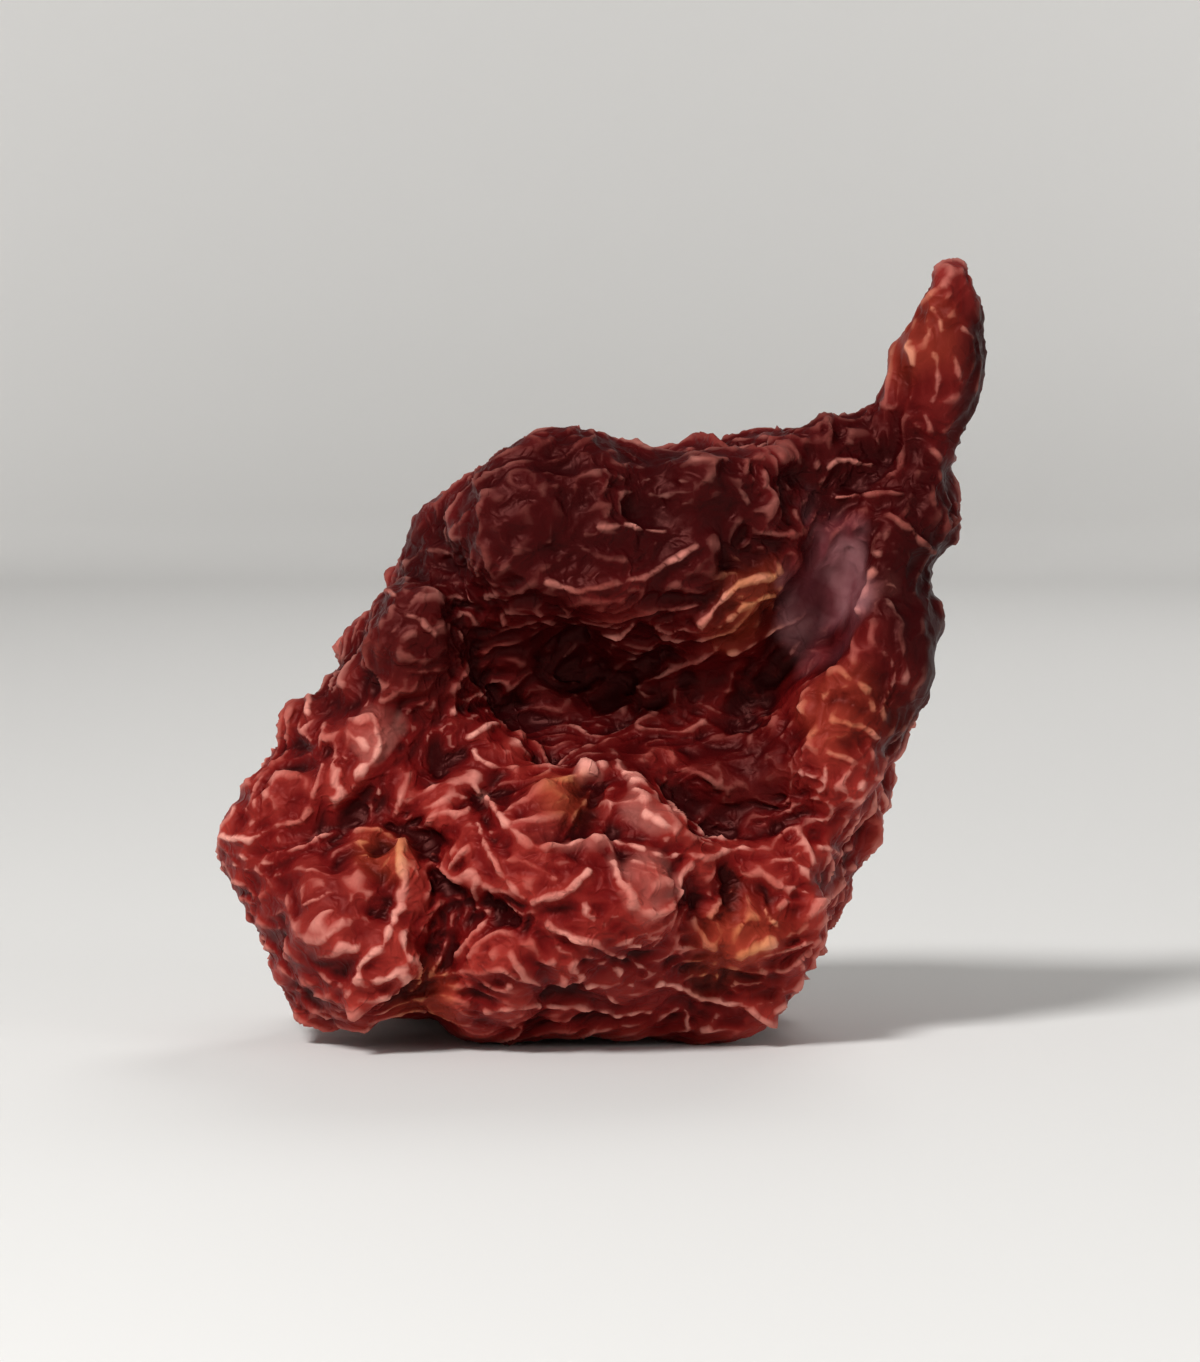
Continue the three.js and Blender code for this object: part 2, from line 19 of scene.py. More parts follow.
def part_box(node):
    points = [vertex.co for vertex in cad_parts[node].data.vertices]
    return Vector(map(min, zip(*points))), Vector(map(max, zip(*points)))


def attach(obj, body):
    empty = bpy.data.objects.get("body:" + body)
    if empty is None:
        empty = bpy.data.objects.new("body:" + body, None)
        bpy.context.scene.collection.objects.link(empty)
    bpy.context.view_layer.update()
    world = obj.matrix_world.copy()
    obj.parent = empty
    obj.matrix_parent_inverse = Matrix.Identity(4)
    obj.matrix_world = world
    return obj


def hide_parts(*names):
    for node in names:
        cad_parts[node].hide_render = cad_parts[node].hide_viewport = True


# without a seed, Blender's vector noise would start from the clock and bend the crests anew
NOISE_SEED = 7
noise.seed_set(NOISE_SEED)
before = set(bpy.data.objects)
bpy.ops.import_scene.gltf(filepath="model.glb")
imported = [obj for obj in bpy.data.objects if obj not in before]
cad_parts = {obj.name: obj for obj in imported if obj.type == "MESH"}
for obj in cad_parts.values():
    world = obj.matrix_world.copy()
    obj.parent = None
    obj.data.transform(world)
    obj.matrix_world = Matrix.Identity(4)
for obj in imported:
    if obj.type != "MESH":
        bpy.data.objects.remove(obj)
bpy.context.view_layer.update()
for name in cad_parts:
    low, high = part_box(name)
    print(name, "measures", [round(1000 * side, 1) for side in high - low], "mm")

# %% [markdown]
# ## Working on one piece at a time
#
# An operator acts on whatever is selected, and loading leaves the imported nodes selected. So each
# step starts with nothing selected and picks its one piece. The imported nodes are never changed:
# a new piece starts from a copy of a node's mesh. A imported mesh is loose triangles, so the copy's
# doubled corners are merged before anything else.


# %% Pick one piece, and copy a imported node
def pick(piece):
    """Selects one piece alone and makes it the active one."""
    bpy.ops.object.select_all(action="DESELECT")
    piece.select_set(True)
    bpy.context.view_layer.objects.active = piece


def apply(piece, kind, **settings):
    """Adds a modifier with these settings and applies it."""
    pick(piece)
    modifier = piece.modifiers.new(kind.lower(), kind)
    for setting, value in settings.items():
        setattr(modifier, setting, value)
    bpy.ops.object.modifier_apply(modifier=modifier.name)


def copy_of(node, name):
    """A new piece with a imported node's mesh, its loose triangles merged."""
    piece = bpy.data.objects.new(name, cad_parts[node].data.copy())
    piece.data.name = name
    piece.data.materials.clear()
    bpy.context.scene.collection.objects.link(piece)
    pick(piece)
    bpy.ops.object.mode_set(mode="EDIT")
    bpy.ops.mesh.select_all(action="SELECT")
    bpy.ops.mesh.remove_doubles(threshold=1e-6)
    bpy.ops.object.mode_set(mode="OBJECT")
    return piece


skin = copy_of("pod", "wrinkled_skin")
print("the pod's copy has", len(skin.data.polygons), "faces")

# %% [markdown]
# ## An even, fine mesh
#
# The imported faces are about 0.7 mm long, and a wrinkle of the real skin is half as wide.
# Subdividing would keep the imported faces' own pattern. A voxel remesh lays small, even faces
# over any form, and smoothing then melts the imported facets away.

# %% Remesh and soften the skin
FACE_SIZE = 0.00013
SOFTENING = 15

apply(skin, "REMESH", mode="VOXEL", voxel_size=FACE_SIZE, adaptivity=0)
apply(skin, "SMOOTH", factor=0.5, iterations=SOFTENING)
print("the skin has", 2 * len(skin.data.polygons), "triangles")

# %% [markdown]
# ## Reading and writing a whole mesh
#
# The wrinkles are worked out for every vertex, with its place in millimetres. NumPy reads and
# writes all the vertices in one go, which is many times faster than a loop over them.


# %% Vertex places and normals as arrays
def places(piece):
    """The vertices' places in mm, a row each."""
    found = np.empty(3 * len(piece.data.vertices))
    piece.data.vertices.foreach_get("co", found)
    return 1000 * found.reshape(-1, 3)


def normals(piece):
    """The directions that the vertices face."""
    found = np.empty(3 * len(piece.data.vertices))
    piece.data.vertices.foreach_get("normal", found)
    return found.reshape(-1, 3)


def move_to(piece, places_mm):
    """Puts the vertices at these places in mm."""
    piece.data.vertices.foreach_set("co", (places_mm / 1000).ravel())
    piece.data.update()


def ramp(low, high, value):
    """0 below low, 1 above high, and a smooth rise between them. Works on a number or an array."""
    share = np.clip((value - low) / (high - low), 0, 1)
    return share * share * (3 - 2 * share)


# %% [markdown]
# ## Where the skin is calm
#
# A dried skin isn't crumpled evenly. The brow over the hollow, the hollow itself and the dent at
# the upper right stayed smoother, because thick flesh held them out while they dried. Each calm
# place is a soft ball with a strength, and the largest strength at a vertex counts. The rest of
# the skin has full vigour, except round the stalk and on the floor.

# %% Calm places as x, y, z, reach in mm and strength
CALM = [
    (-1.8, -5.6, 18.4, 4.4, 0.66),  # the brow
    (2.6, -5.6, 18.6, 3.6, 0.60),
    (8.3, -3.6, 16.0, 2.8, 0.75),  # the smooth dent
    (10.9, -4.2, 14.2, 4.2, 0.72),  # the upper part of the right rim
    (12.4, -2.4, 24.0, 5.0, 0.60),  # the tail
    (-1.2, -3.4, 13.8, 4.2, 0.60),  # the hollow
    (4.6, -3.2, 12.8, 3.0, 0.60),
    (0.6, -6.4, 11.2, 2.6, 0.62),  # the slope up into the hollow
    (4.8, -5.0, 9.4, 2.6, 0.55),
    (-4.4, -7.4, 10.2, 2.0, 0.45),
    (0.0, -8.2, 7.8, 3.2, 0.45),  # the petal
    (-9.6, -7.6, 4.8, 3.4, 0.45),  # the round left lobe
    (-12.8, -2.6, 5.6, 3.6, 0.45),
]
STALK_END = Vector((-5.95, 5.98, 9.3))


def covered(points, balls, uneven=0):
    """How strongly soft balls cover each point, from 0 to the ball's own strength."""
    most = np.zeros(len(points))
    for x, y, z, reach, strength in balls:
        away = np.linalg.norm(points - (x, y, z), axis=1) / reach
        most = np.maximum(most, strength * (1 - ramp(0.35, 1, away + uneven)))
    return most


here = places(skin)
facing = normals(skin)
calm = covered(here, CALM)
by_stalk = 1 - ramp(2.5, 5.5, np.linalg.norm(here - STALK_END, axis=1))
by_floor = 1 - ramp(0.0, 1.2, here[:, 2])
vigour = (1 - calm) * (1 - 0.6 * by_stalk) * (1 - 0.7 * by_floor)
print("the skin is calm over", round(100 * float((vigour < 0.6).mean())), "% of the pod")

# %% [markdown]
# ## Crests from noise
#
# Three sizes of crest lie over one another. The widest are folds, along the edges between the
# cells of a Voronoi noise. The two thinner sizes are wrinkles, along the lines where smooth noise
# passes through zero, which are long and closed. The skin rises to each line like a tent, steepest
# at the top, and sags between them. Two things keep the net from looking regular: the place is
# bent by a slower noise first, and each fold rises and sinks along its length. The place is also
# squeezed along the fold's own direction, so the crests run with the folds, level on the low roll
# and upright on the rims.

# %% Height of the noise crests at one place
ALONG_ROLL = Vector((0.93, -0.22, 0.28)).normalized()
ALONG_RIM = Vector((0.38, 0.05, 0.92)).normalized()
SQUEEZE = 0.56
FOLD_SIZE, WRINKLE_SIZE, FINE_SIZE = 2.0, 0.95, 0.52  # mm
FOLD_HEIGHT, WRINKLE_HEIGHT, FINE_HEIGHT = 0.46, 0.30, 0.19  # mm


def net(place, width):
    """1 on the edges between the cells of noise, falling evenly to 0 inside each cell."""
    nearest, second = noise.voronoi(place)[0][:2]
    return max(0, 1 - math.hypot(second - nearest, 0.04) / width) ** 1.4


def crest(place, steepness, rounding):
    """1 where smooth noise passes through zero, falling steeply and then gently to 0."""
    fall = min(1, steepness * math.hypot(noise.noise(place), rounding))
    return (1 - fall) ** 2.2


def crumple(p, along):
    """Heights in mm, at a place in mm, of the folds and of the wrinkles along a direction."""
    q = p - along * (SQUEEZE * p.dot(along))
    slow = noise.noise_vector(p * 0.25)
    quick = noise.noise_vector(p * 0.8 + Vector((5, 5, 5)))
    rise = 0.75 + 0.9 * noise.noise(p * 0.5 + Vector((8, 1, 2)))
    wide = net(q / FOLD_SIZE + slow * 0.7 + quick * 0.16, 0.7) * rise
    narrow = crest(q / WRINKLE_SIZE + slow * 1.2 + quick * 0.4 + Vector((9, 2, 4)), 1.9, 0.03)
    fine = crest(q / FINE_SIZE + quick * 0.9 + Vector((1, 7, 3)), 1.8, 0.05)
    wrinkles = WRINKLE_HEIGHT * (narrow - 0.35) * (0.7 + 0.5 * wide) + FINE_HEIGHT * (fine - 0.35)
    return FOLD_HEIGHT * (wide - 0.3), wrinkles


# %% [markdown]
# ## Crests all over the skin
#
# The two rims stand upright and the rest lies level, so each vertex takes its share of both
# directions. A calm place loses its folds sooner than its wrinkles: thick flesh keeps its shape
# while the thin outer skin over it still shrivels.

# %% Height of the noise crests all over the skin
upright = ramp(5.0, 9.0, here[:, 0]) * ramp(7.0, 11.0, here[:, 2])
upright = np.maximum(upright, ramp(4.5, 8.5, -here[:, 0]) * ramp(6.5, 9.5, here[:, 2]))
heights = np.zeros((len(here), 2))
for spot, p in enumerate(here):
    p, share = Vector(p), upright[spot]
    if share < 1:
        heights[spot] += (1 - share) * np.array(crumple(p, ALONG_ROLL))
    if share > 0:
        heights[spot] += share * np.array(crumple(p, ALONG_RIM))
raised = heights[:, 0] * vigour + heights[:, 1] * vigour**0.6
print("noise crests rise from", np.round([raised.min(), raised.max()], 2), "mm")

# %% [markdown]
# ## The crests that the eye knows
#
# Noise gives the right kind of crumple, but a viewer knows this pod by certain folds: the petal
# in the middle of the low roll, the curl that closes the round left lobe, the lip of the brow. Each
# is drawn as a short line of x and z, in millimetres, with its height and half width. The line
# lifts the skin that faces the viewer, and the noise crests give way beside it.

# %% Drawn crests, each with height, half width and points
DRAWN = [
    # the curl that closes the left lobe, and the crests inside it
    (
        0.50,
        0.30,
        [(-8.6, 7.5), (-7.7, 7.6), (-6.9, 7.1), (-6.7, 6.2), (-7.0, 5.1), (-7.6, 4.0), (-8.5, 2.7)],
    ),
    (0.20, 0.18, [(-10.3, 5.8), (-10.3, 5.1), (-9.7, 5.3), (-9.1, 5.7)]),
    (0.20, 0.18, [(-10.3, 4.1), (-9.7, 4.2), (-9.1, 4.6), (-8.6, 5.4)]),
    (0.22, 0.20, [(-12.1, 3.7), (-11.1, 3.4), (-10.2, 3.2), (-9.3, 2.7)]),
    (0.18, 0.18, [(-10.9, 6.3), (-10.0, 6.5), (-9.2, 6.2), (-8.4, 6.4)]),
    (0.20, 0.18, [(-12.9, 6.6), (-12.0, 6.4), (-11.3, 5.7)]),
    (0.20, 0.18, [(-6.5, 4.1), (-5.9, 3.9), (-5.3, 4.1)]),
    # the left lobe's top edge and its outer edge
    (
        0.38,
        0.26,
        [(-13.2, 7.4), (-12.3, 7.3), (-11.5, 7.7), (-10.5, 8.1), (-10.0, 9.0), (-9.7, 9.9)],
    ),
    (0.30, 0.24, [(-13.6, 5.8), (-13.0, 5.2), (-12.5, 4.3), (-11.9, 3.1), (-11.1, 2.3)]),
    # the left rim
    (0.36, 0.28, [(-9.7, 14.0), (-10.1, 12.9), (-10.2, 11.8)]),
    (0.32, 0.26, [(-8.7, 11.4), (-7.9, 11.5), (-7.8, 10.4), (-8.4, 9.7)]),
    (0.30, 0.20, [(-8.2, 16.2), (-7.6, 16.1), (-7.0, 15.8)]),
    (0.30, 0.24, [(-7.2, 14.7), (-6.8, 15.2), (-6.2, 15.1), (-5.8, 14.7)]),
    (0.26, 0.18, [(-5.1, 14.7), (-4.9, 14.0), (-5.4, 13.4), (-6.2, 13.2), (-6.9, 13.4)]),
    (0.22, 0.16, [(-6.5, 14.3), (-6.1, 14.0), (-5.8, 14.2)]),
    # the petal in the middle of the roll
    (0.52, 0.34, [(-4.5, 9.3), (-3.5, 8.3), (-2.4, 7.5), (-1.2, 7.2), (0.2, 7.3), (1.4, 7.2)]),
    (0.60, 0.42, [(-0.6, 9.6), (0.5, 9.7), (1.2, 9.2), (1.7, 8.5), (2.5, 7.7)]),
    (0.40, 0.28, [(-3.3, 8.3), (-2.4, 8.9), (-1.6, 9.1), (-0.6, 9.6)]),
    (0.26, 0.20, [(-1.5, 7.6), (-1.0, 8.4), (-0.4, 9.2)]),
    (0.32, 0.22, [(-4.3, 8.2), (-3.9, 7.2), (-3.3, 6.4), (-2.6, 5.8)]),
    (0.28, 0.20, [(-2.7, 7.0), (-2.1, 6.6), (-1.6, 6.3)]),
    (0.40, 0.24, [(-2.2, 5.6), (-1.3, 5.9), (-0.4, 6.5)]),
    (0.50, 0.38, [(0.4, 7.2), (0.6, 6.2), (1.1, 5.4), (1.7, 5.1), (2.4, 5.6), (2.9, 6.6)]),
    (0.34, 0.24, [(1.4, 7.2), (2.6, 7.0), (3.7, 6.9), (4.9, 7.0), (6.0, 7.0)]),
    (0.22, 0.20, [(3.9, 7.9), (4.5, 7.7)]),
    (0.40, 0.28, [(-4.6, 10.9), (-3.7, 11.2), (-2.9, 10.5)]),
    (0.30, 0.24, [(-4.4, 10.4), (-3.6, 9.9), (-3.0, 9.7)]),
    # the low roll
    (0.28, 0.24, [(-5.9, 2.7), (-4.6, 3.1), (-3.3, 3.3), (-2.4, 2.9)]),
    (0.38, 0.26, [(-2.9, 3.8), (-2.5, 3.1), (-2.0, 2.6)]),
    (0.42, 0.26, [(-1.6, 4.7), (-0.5, 4.3), (0.6, 3.8), (1.7, 3.1)]),
    (0.46, 0.30, [(3.2, 4.7), (3.5, 4.0), (4.1, 3.7), (5.1, 3.8), (6.0, 4.1)]),
    (0.34, 0.24, [(5.6, 5.5), (5.9, 4.9), (6.2, 4.4)]),
    (0.44, 0.28, [(7.3, 4.9), (8.2, 5.5), (8.8, 6.2)]),
    (0.34, 0.26, [(7.7, 7.0), (8.4, 6.8), (8.9, 6.8)]),
    (0.30, 0.26, [(-8.5, 1.6), (-7.0, 1.8), (-5.5, 1.9), (-4.6, 1.7)]),
    (0.34, 0.26, [(-3.8, 1.6), (-2.0, 2.0), (-0.7, 1.8), (0.6, 1.4), (1.7, 1.3)]),
    (0.40, 0.28, [(2.1, 2.5), (3.4, 2.1), (4.9, 1.6), (6.0, 1.0)]),
    (0.26, 0.22, [(-6.4, 4.7), (-5.5, 5.3), (-4.6, 5.7)]),
    (0.28, 0.24, [(-0.3, 2.7), (1.2, 2.5), (2.7, 2.3)]),
    (0.30, 0.24, [(-5.1, 4.9), (-5.3, 3.8), (-5.9, 2.7)]),
    # the right rim, below and above the smooth dent
    (0.36, 0.28, [(7.1, 11.8), (7.5, 12.7), (8.6, 13.3), (9.3, 12.7)]),
    (0.34, 0.28, [(8.2, 11.6), (9.0, 11.4), (9.8, 11.0)]),
    (0.28, 0.24, [(8.0, 10.5), (8.8, 10.1), (9.9, 9.4)]),
    (0.44, 0.22, [(10.2, 18.6), (11.0, 18.0), (11.6, 17.3)]),
    (0.42, 0.24, [(8.4, 19.2), (9.2, 19.2), (10.6, 19.4)]),
    (0.38, 0.22, [(8.0, 20.4), (8.8, 20.6), (9.6, 20.4)]),
    (0.26, 0.18, [(6.7, 20.0), (7.4, 20.1)]),
    (0.42, 0.32, [(9.3, 15.3), (9.7, 16.2), (9.9, 17.3)]),
    # the lip of the brow, and the wrinkles above it
    (0.42, 0.22, [(-1.8, 16.5), (-0.7, 16.2), (0.4, 16.3), (1.7, 16.8), (2.7, 17.2), (3.4, 17.6)]),
    (0.32, 0.22, [(-0.1, 18.5), (0.8, 18.4), (1.7, 18.1), (2.5, 18.1)]),
    (0.22, 0.20, [(0.1, 21.2), (1.2, 21.4), (2.3, 21.4)]),
    (0.24, 0.20, [(2.7, 20.9), (3.6, 20.6), (4.5, 20.5)]),
    (0.20, 0.18, [(1.4, 19.9), (2.3, 20.1), (3.2, 19.9)]),
    # the bright ridge beside the smooth dent
    (0.46, 0.34, [(3.6, 15.1), (4.3, 15.8), (5.1, 16.3), (6.2, 16.8)]),
    (0.34, 0.22, [(4.2, 15.0), (5.0, 15.5), (5.9, 15.9)]),
    (0.40, 0.30, [(4.7, 14.0), (5.5, 14.3), (6.4, 14.8), (7.2, 15.2)]),
    (0.24, 0.20, [(6.6, 13.5), (7.3, 14.2), (7.8, 14.9)]),
    (0.26, 0.22, [(0.1, 14.6), (0.8, 14.5), (1.2, 15.1)]),
    # the tail, with a row of beads down its lit side
    (0.26, 0.26, [(12.4, 27.1), (11.9, 26.6), (11.4, 25.9)]),
    (0.26, 0.24, [(11.2, 25.4), (11.0, 24.7), (11.1, 24.0)]),
    (0.22, 0.20, [(11.8, 25.8), (12.1, 25.2)]),
    (0.24, 0.20, [(12.8, 25.2), (13.1, 24.9)]),
    (0.24, 0.22, [(12.6, 24.1), (12.7, 23.4)]),
    (0.24, 0.22, [(11.8, 24.3), (12.0, 23.5), (11.8, 22.8)]),
    (0.22, 0.20, [(11.5, 22.3), (11.7, 21.6)]),
    (0.42, 0.28, [(11.8, 20.9), (11.9, 20.1), (11.7, 19.2)]),
    (0.16, 0.18, [(13.3, 26.2), (13.6, 24.6), (13.4, 23.0)]),
]

# broad soft swellings that carry the crests, each with height, x, z and reach in mm
SWELLINGS = [
    (0.30, -1.7, 8.7, 1.3),  # the petal's face
    (0.60, 0.3, 8.5, 1.2),
    (0.35, -0.2, 7.4, 0.9),
    (0.45, 1.6, 6.4, 1.2),  # the flap under it
    (0.35, -9.4, 4.8, 2.4),  # the round left lobe
    (0.30, 4.6, 4.2, 2.0),
    (0.20, -8.2, 10.8, 1.2),
    (0.55, -8.1, 5.7, 1.3),  # inside the left lobe's curl
    (0.30, -8.4, 6.9, 0.9),
]


def away_from(line, across, up):
    """Distance from each point to the nearest stretch of a line."""
    nearest = np.full(len(across), np.inf)
    for (ax, az), (bx, bz) in zip(line, line[1:]):
        dx, dz = bx - ax, bz - az
        share = np.clip(((across - ax) * dx + (up - az) * dz) / (dx * dx + dz * dz), 0, 1)
        nearest = np.minimum(nearest, np.hypot(across - ax - share * dx, up - az - share * dz))
    return nearest


# %% [markdown]
# ## Laying the drawn crests
#
# A pen line would look like a worm. So each line's place wavers with two noises, its height comes
# and goes along its length, and its pale top, partly rubbed skin and partly a painted highlight, is
# broken the same way. Its form is a sharp core on a wide tent, both in half widths, and the noise
# crests are hushed a little way out beside it.

# %% Lay the drawn crests on the skin
CORE, TENT, HUSH = 0.45, 3.0, 2.0  # half widths
# how high a drawn crest rises where its pale top, partly a painted highlight, is palest
PALE_HIGHLIGHT_HEIGHT = 0.5  # mm, where a drawn crest is at its palest

front = np.flatnonzero(facing[:, 1] < 0.1)
wobble = np.array([noise.noise_vector(Vector(p) * 0.8) for p in here[front]])
waver = np.array([noise.noise_vector(Vector(p) * 2.4) for p in here[front]])
across = here[front, 0] + 0.22 * wobble[:, 0] + 0.07 * waver[:, 0]
up = here[front, 2] + 0.22 * wobble[:, 2] + 0.07 * waver[:, 2]
toward = ramp(-0.1, 0.35, -facing[front, 1])
drawn = np.zeros(len(front))
beside = np.zeros(len(front))
for height, half_width, line in DRAWN:
    away = away_from(line, across, up)
    tent = (1 - np.clip(np.hypot(away, 0.04) / (TENT * half_width), 0, 1)) ** 1.5
    core = np.exp(-((away / (CORE * half_width)) ** 2))
    drawn = np.maximum(drawn, height * (0.4 * core + 0.75 * tent))
    beside = np.maximum(beside, np.exp(-((away / (HUSH * half_width)) ** 2)))
drawn *= toward * (0.88 + 0.5 * wobble[:, 1] + 0.45 * waver[:, 1])
beside *= toward
swollen = np.zeros(len(front))
for height, x, z, reach in SWELLINGS:
    swollen += height * (1 - ramp(0, reach, np.hypot(across - x, up - z)))
raised[front] = raised[front] * (1 - 0.85 * beside) + drawn - 0.10 * beside + swollen * toward
unbroken = ramp(-0.25, 0.12, wobble[:, 0] + 0.7 * waver[:, 2])
# the pale top of each drawn crest: partly rubbed skin, partly a painted highlight
pale_line_and_highlight = np.zeros(len(here))
pale_line_and_highlight[front] = drawn / PALE_HIGHLIGHT_HEIGHT * (0.4 + 0.6 * unbroken)
moved = here + facing * raised[:, None]
print(len(DRAWN), "drawn crests rise up to", round(float(drawn.max()), 2), "mm")

# %% [markdown]
# ## The underside
#
# The pod's weight rests on a few low places only. Between them the skin curls up off the floor,
# so a shadow shows under the roll. A slow noise says where it curls, and nothing goes below z = 0.

# %% Curl the underside up between its resting places
CURL_HEIGHT = 1.0  # mm

curl = np.array([noise.noise(Vector(p) * 0.2 + Vector((2, 6, 0))) for p in here])
moved[:, 2] += CURL_HEIGHT * ramp(-0.1, 0.35, curl) * (1 - ramp(0.3, 3.2, here[:, 2]))
moved[:, 2] = np.maximum(moved[:, 2], 0)
move_to(skin, moved)
print("the underside touches at", int((moved[:, 2] < 0.01).sum()), "vertices")

# %% [markdown]
# ## Masks that follow the wrinkles
#
# The colour follows the relief: crests are pale, partly rubbed and partly a painted highlight, and
# the valleys between them are dark with a painted shade. Each vertex is compared with a copy of the
# mesh that has been smoothed. A short smoothing leaves out the thin crests only, and a long one
# leaves out the folds too. How far a vertex stands above its smoothed place is kept as an
# attribute, which the material reads.


# %% Store how far the skin stands above its smoothed self
def smoothed(piece, points, rounds):
    """The points, each drawn halfway to the middle of its neighbours, again and again."""
    ends = np.empty(2 * len(piece.data.edges), dtype=np.int64)
    piece.data.edges.foreach_get("vertices", ends)
    one, other = ends.reshape(-1, 2).T
    count = len(points)
    near = np.bincount(ends, minlength=count)
    for _ in range(rounds):
        total = [
            np.bincount(one, points[other, k], count) + np.bincount(other, points[one, k], count)
            for k in range(3)
        ]
        points = 0.5 * points + 0.5 * np.stack(total, axis=1) / near[:, None]
    return points


def store(piece, name, values):
    """Keeps values from 0 to 1 on the mesh, for a material to read."""
    attribute = piece.data.attributes.new(name, "FLOAT", "POINT")
    attribute.data.foreach_set("value", np.clip(values, 0, 1).astype(np.float32))
    print(name, "runs from", np.round(np.percentile(values, [5, 50, 95]), 2))


WRINKLE_ROUNDS, FOLD_ROUNDS = 9, 90
WRINKLE_RISE, FOLD_RISE = 0.13, 0.7  # mm from the foot of a crest or fold to its top

facing = normals(skin)
over_wrinkle = ((moved - smoothed(skin, moved, WRINKLE_ROUNDS)) * facing).sum(axis=1)
over_wrinkle = smoothed(skin, np.repeat(over_wrinkle[:, None], 3, axis=1), 1)[:, 0]
over_fold = ((moved - smoothed(skin, moved, FOLD_ROUNDS)) * facing).sum(axis=1)
store(skin, "crest", 0.4 + over_wrinkle / WRINKLE_RISE)
store(skin, "vigour", vigour)
# the ridge mask: the material paints the valleys between the folds dark as shade
store(skin, "ridge", 0.5 + over_fold / FOLD_RISE)

# %% [markdown]
# ## Masks that follow places
#
# Some patches of the skin are more orange than red, where less pigment was left under the wax.
# The brow, the outer rims, the slopes into the hollow and the hollow itself are darkened as a
# painted shade. The petal and the flap under it are the palest, partly rubbed pale and partly a
# painted highlight, and the smooth dent at the upper right has a greyish, lilac bloom that is
# partly a painted sheen. They are soft balls again, as x, y, z, reach and strength, with a slow
# noise added so that they don't end in a circle. The low mask is how much redder the skin is near
# the floor and at the tail; above the floor the redder skin gives way to a painted shade.

# %% Store the orange patches, the painted shade and the bloom with its painted sheen
ORANGE = [
    (-1.5, -8.2, 8.7, 1.7, 1.0),  # the petal
    (4.8, -7.2, 4.0, 2.6, 1.0),  # the right end of the roll
    (-7.4, -7.6, 6.8, 1.6, 1.0),  # the left lobe's curl
    (-6.2, -8.0, 2.0, 1.6, 0.8),
    (5.2, -5.6, 15.8, 2.3, 1.0),  # the ridge beside the dent
    (3.2, -6.0, 17.4, 1.0, 0.8),
    (8.6, -6.6, 11.8, 2.4, 0.6),  # the right rim's lip
    (11.3, -3.6, 25.0, 2.4, 0.55),  # the tail
    (-2.0, 7.0, 6.0, 4.5, 0.9),  # on the back
    (4.0, 5.5, 12.0, 4.0, 0.9),
    (-9.0, 1.5, 6.0, 3.0, 0.9),
]
# painted shade: darker skin over the brow, the left rim, the slopes into the hollow, the outside of
# the right rim, the tail's far side, the web and the hollow
PAINTED_SHADE_BALLS = [
    (-1.6, -7.0, 18.4, 5.4, 0.72),  # the brow
    (3.0, -6.4, 18.8, 4.8, 0.72),
    (-5.8, -4.2, 16.6, 3.4, 0.60),
    (-6.4, -5.8, 14.4, 3.4, 0.72),  # the left rim
    (-9.4, -3.6, 12.8, 2.6, 0.50),
    (0.4, -4.6, 11.2, 3.6, 0.42),  # the slope up into the hollow
    (5.0, -5.4, 9.6, 3.4, 0.58),
    (11.2, -4.8, 16.6, 3.6, 0.95),  # the outside of the right rim
    (11.7, -5.0, 13.8, 3.4, 0.95),
    (11.2, -5.6, 11.6, 2.8, 0.80),
    (11.5, -4.0, 19.0, 2.2, 0.85),
    (13.9, -2.8, 24.6, 2.3, 0.95),  # the tail's far side
    (13.3, -3.0, 22.2, 2.0, 0.90),
    (8.6, -3.4, 20.8, 3.2, 0.62),  # the web
    (-0.6, -3.4, 13.6, 5.0, 0.50),  # the hollow
]
# pale patches: partly rubbed skin, partly a painted highlight
PALE_RUB_AND_HIGHLIGHT = [
    (-2.0, -9.0, 8.3, 1.9, 0.80),  # the petal and the flap under it
    (1.7, -8.3, 8.6, 1.6, 0.80),
    (1.5, -9.8, 6.3, 2.0, 0.80),
    (-8.0, -6.5, 11.0, 1.6, 0.70),  # the left rim
    (9.7, -4.9, 16.4, 1.2, 0.80),  # the strip beside the dent
]
# the greyish lilac bloom on the smooth dent, partly a painted sheen
BLOOM_SHEEN_AT, BLOOM_SHEEN_REACH = (8.0, -3.4, 16.2), (2.3, 3.4, 3.2)
TAIL = (11.2, -3.4, 25.0, 4.0, 0.42)

uneven = np.array([noise.noise(Vector(p) * 0.6) for p in moved])
# the drawn mask: pale crest tops and patches, partly a painted highlight
store(skin, "drawn", np.maximum(pale_line_and_highlight, covered(moved, PALE_RUB_AND_HIGHLIGHT, 0.6 * uneven)))
store(skin, "orange", covered(moved, ORANGE, 0.45 * uneven))
# the painted shade
store(skin, "painted_shade", covered(moved, PAINTED_SHADE_BALLS, 0.25 * uneven))
from_bloom_sheen = np.linalg.norm((moved - BLOOM_SHEEN_AT) / BLOOM_SHEEN_REACH, axis=1)
store(skin, "bloom_and_sheen", 1 - ramp(0.5, 1.0, from_bloom_sheen + 0.5 * uneven))
# redder low down and at the tail; higher up, and where the skin is calm, the material paints the
# darker red of shade
near_floor = 1 - ramp(7.0, 19.0, moved[:, 2] + 3 * uneven)
store(skin, "low", np.maximum(near_floor * (1 - 0.6 * calm), covered(moved, [TAIL])))

# %% [markdown]
# ## Fewer faces where nothing happens
#
# The mesh is thinned out to a set number of triangles. The mesh is finer than a part may keep.
# The Decimate modifier joins the faces that lie nearly flat and leaves the crests alone, and it
# carries the stored masks along.

# %% Thin the mesh out to its limit
MOST_TRIANGLES = 197000

